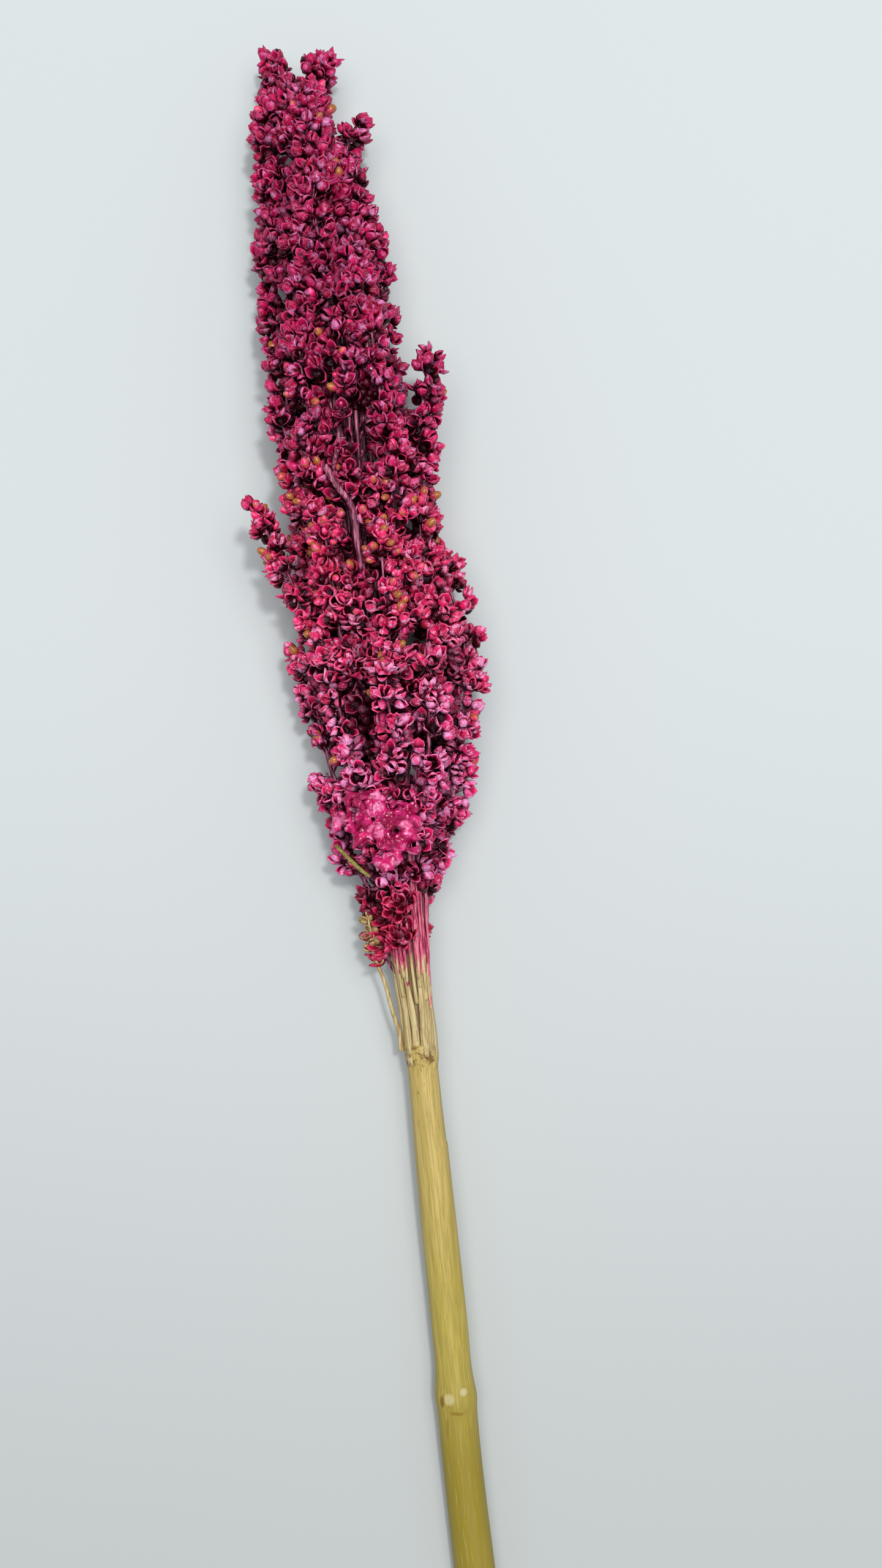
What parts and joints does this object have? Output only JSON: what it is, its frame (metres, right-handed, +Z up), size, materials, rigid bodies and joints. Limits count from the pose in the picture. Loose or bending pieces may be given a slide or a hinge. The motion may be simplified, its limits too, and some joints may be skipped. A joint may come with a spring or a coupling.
{
  "type": "sorghum seed head",
  "caption": "Dried sorghum head painted magenta on its bare cut stem: whorls of branches crowded with pointed spikelets, lying flat on its side.",
  "frame": {"origin": "centre of the bounding box in X and Y, on the surface that the head lies on", "axes": "+Y along the head from the cut stem end towards the head's tip, +Z up from the surface, +X to the head's right seen from above with its tip away from the viewer"},
  "size_m": [0.0816, 0.5095, 0.0509],
  "materials": {
    "dry_stem": "satin",
    "painted_spikelets": "satin",
    "painted_axis": "matte",
    "dry_glumes": "matte"
  },
  "bodies": {
    "root": {"stem": "dry_stem", "rachis": "painted_axis", "spray_01": "painted_spikelets", "spray_02": "painted_spikelets", "spray_03": "painted_spikelets", "spray_04": "painted_spikelets", "spray_05": "painted_spikelets", "spray_06": "painted_spikelets", "spray_07": "painted_spikelets", "spray_08": "painted_spikelets", "spray_09": "painted_spikelets", "spray_10": "painted_spikelets", "spray_11": "painted_spikelets", "spray_12": "painted_spikelets", "spray_13": "painted_spikelets", "spray_14": "painted_spikelets", "spray_15": "painted_spikelets", "spray_16": "painted_spikelets", "spray_17": "painted_spikelets", "spray_18": "painted_spikelets", "spray_19": "painted_spikelets", "spray_20": "painted_spikelets", "spray_21": "painted_spikelets", "spray_22": "painted_spikelets", "spray_23": "painted_spikelets", "spray_24": "painted_spikelets", "spray_25": "painted_spikelets", "spray_26": "painted_spikelets", "spray_27": "painted_spikelets", "spray_28": "painted_spikelets", "spray_29": "painted_spikelets", "spray_30": "painted_spikelets", "spray_31": "painted_spikelets", "spray_32": "painted_spikelets", "spray_33": "painted_spikelets", "spray_34": "painted_spikelets", "spray_35": "painted_spikelets", "spray_36": "painted_spikelets", "spray_37": "painted_spikelets", "spray_38": "painted_spikelets", "spray_39": "painted_spikelets", "spray_40": "painted_spikelets", "spray_41": "painted_spikelets", "spray_42": "painted_spikelets", "spray_43": "painted_spikelets", "spray_44": "painted_spikelets", "spray_45": "painted_spikelets", "spray_46": "painted_spikelets", "spray_47": "painted_spikelets", "spray_48": "painted_spikelets", "spray_49": "painted_spikelets", "spray_50": "painted_spikelets", "spray_51": "painted_spikelets", "spray_52": "painted_spikelets", "spray_53": "painted_spikelets", "spray_54": "painted_spikelets", "dry_sprig": "dry_glumes"}
  },
  "joints": []
}
